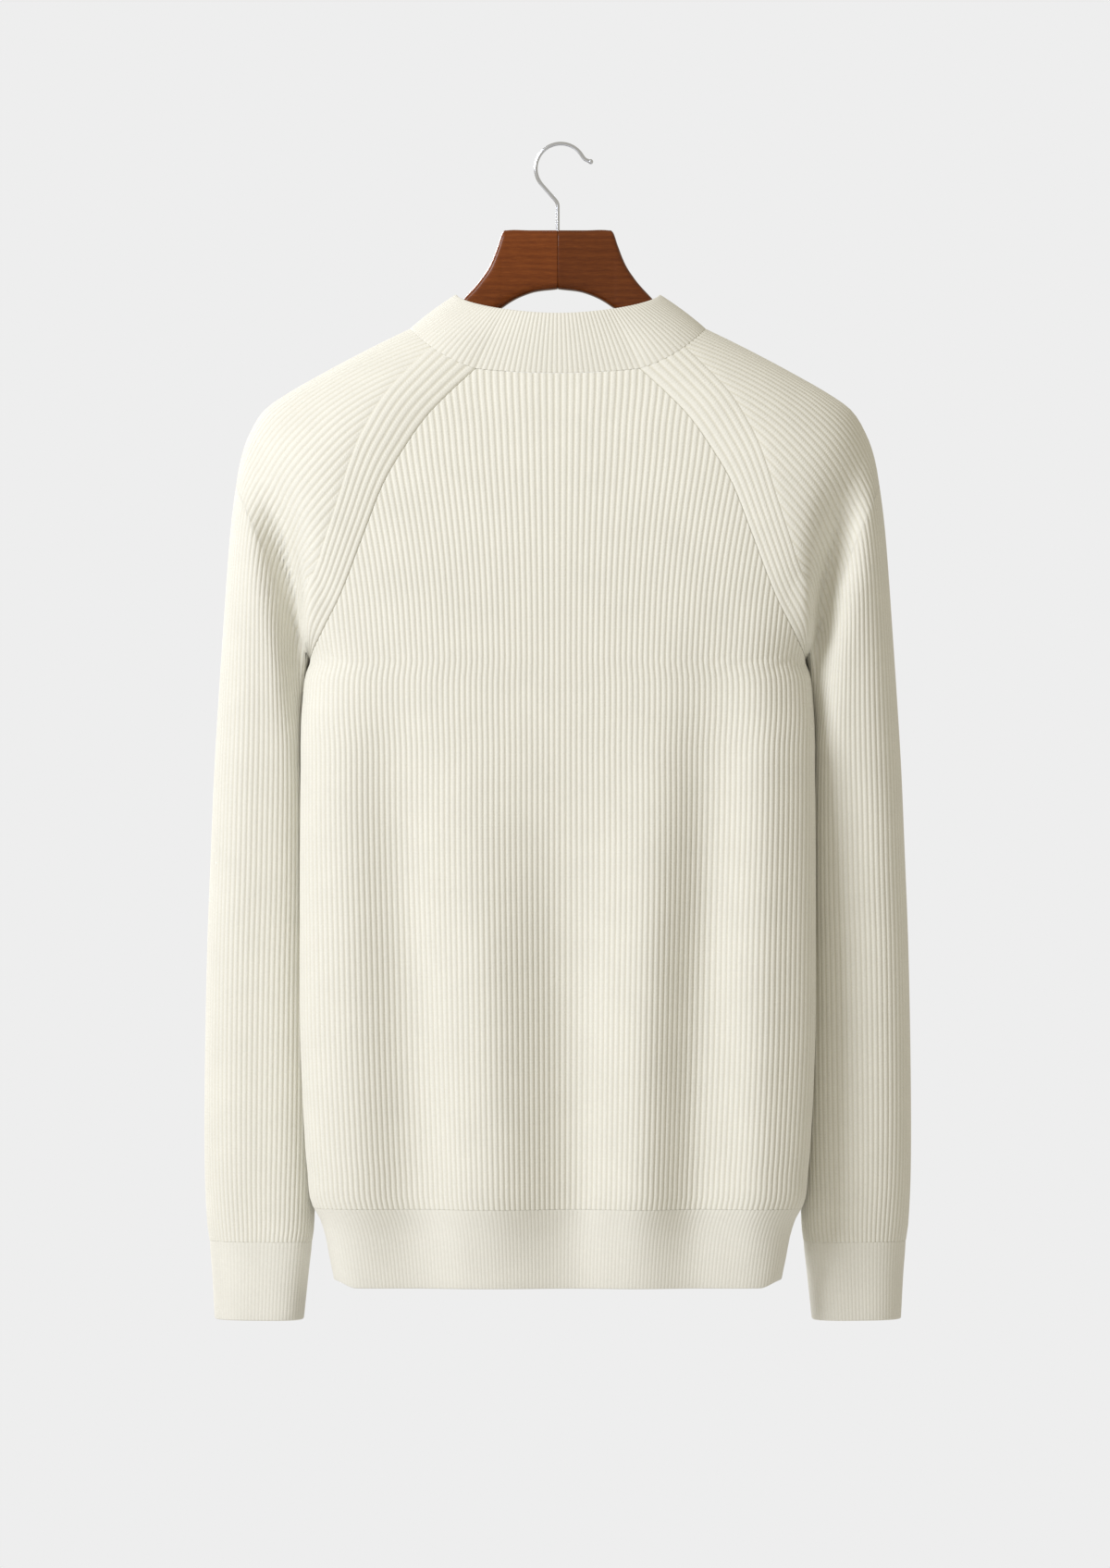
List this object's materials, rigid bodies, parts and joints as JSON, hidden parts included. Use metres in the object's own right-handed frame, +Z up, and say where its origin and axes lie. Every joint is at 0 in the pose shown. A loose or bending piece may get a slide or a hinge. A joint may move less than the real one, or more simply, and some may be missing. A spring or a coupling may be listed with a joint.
{
  "type": "henley sweater on a wooden hanger",
  "caption": "Ribbed cream raglan sweater with a stand collar and short buttoned placket, hanging full and soft from a flared wooden hanger with a metal hook.",
  "frame": {"origin": "underside of the hook's bend, where it bears on a rail", "axes": "+Z up; +X towards the wearer's right sleeve; +Y out of the garment's front, so the back faces -Y"},
  "size_m": [0.5102, 0.1533, 0.8485],
  "materials": {
    "knit": "cream wide-ribbed knit",
    "fine_knit": "cream close-ribbed knit",
    "button": "satin",
    "wood": "dark brown, lacquered",
    "steel": "bright nickel-plated wire"
  },
  "bodies": {
    "root": {"back_panel": "knit", "front_panel": "knit", "sleeve_left": "knit", "sleeve_right": "knit", "collar": "fine_knit", "hem_band_back": "fine_knit", "hem_band_front": "fine_knit", "cuff_left": "fine_knit", "cuff_right": "fine_knit", "placket_over": "fine_knit", "placket_under": "fine_knit", "button_1": "button", "button_2": "button", "button_3": "button", "button_4": "button", "hanger_arm_left": "wood", "hanger_arm_right": "wood", "hook": "steel"}
  },
  "joints": []
}
